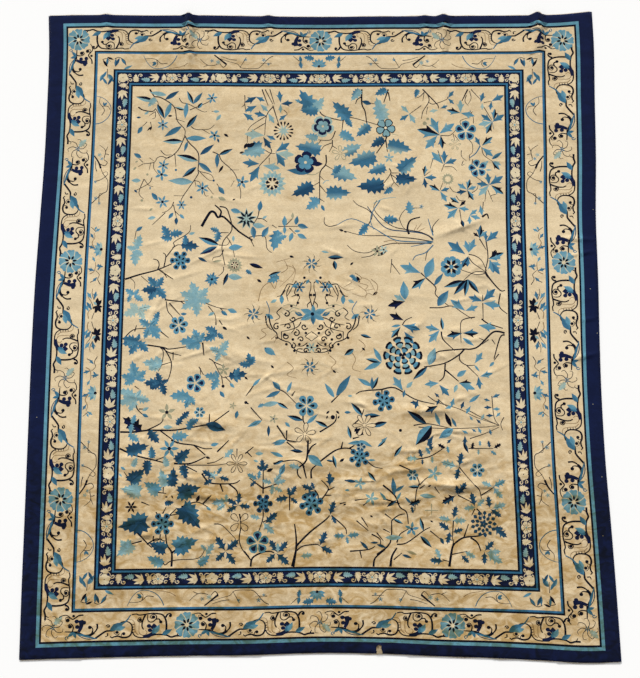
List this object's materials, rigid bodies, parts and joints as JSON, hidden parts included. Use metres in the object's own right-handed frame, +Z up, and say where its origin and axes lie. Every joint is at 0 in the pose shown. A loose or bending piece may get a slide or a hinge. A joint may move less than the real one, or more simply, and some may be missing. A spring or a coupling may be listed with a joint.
{
  "type": "chinese rug",
  "caption": "Room-size hand-knotted Chinese wool rug, lying flat, with a floral field, floral borders, a navy outer band, overcast sides and short warp fringes.",
  "frame": {"origin": "on the floor under the middle of the whole rug's box", "axes": "+X across the rug to the right, +Y along the rug to its far end, +Z up out of the pile"},
  "size_m": [3.5474, 4.111, 0.062],
  "materials": {
    "wool_pile": "matt cut wool pile, cream ground with blue, turquoise, navy and near-black motifs",
    "overcast_wool": "matt navy wool yarn wound over the side cords",
    "warp_cotton": "matt undyed cotton warp ends"
  },
  "bodies": {
    "root": {"carpet_body": "wool_pile", "selvedge_left": "overcast_wool", "selvedge_right": "overcast_wool", "fringe_top": "warp_cotton", "fringe_bottom": "warp_cotton"}
  },
  "joints": []
}
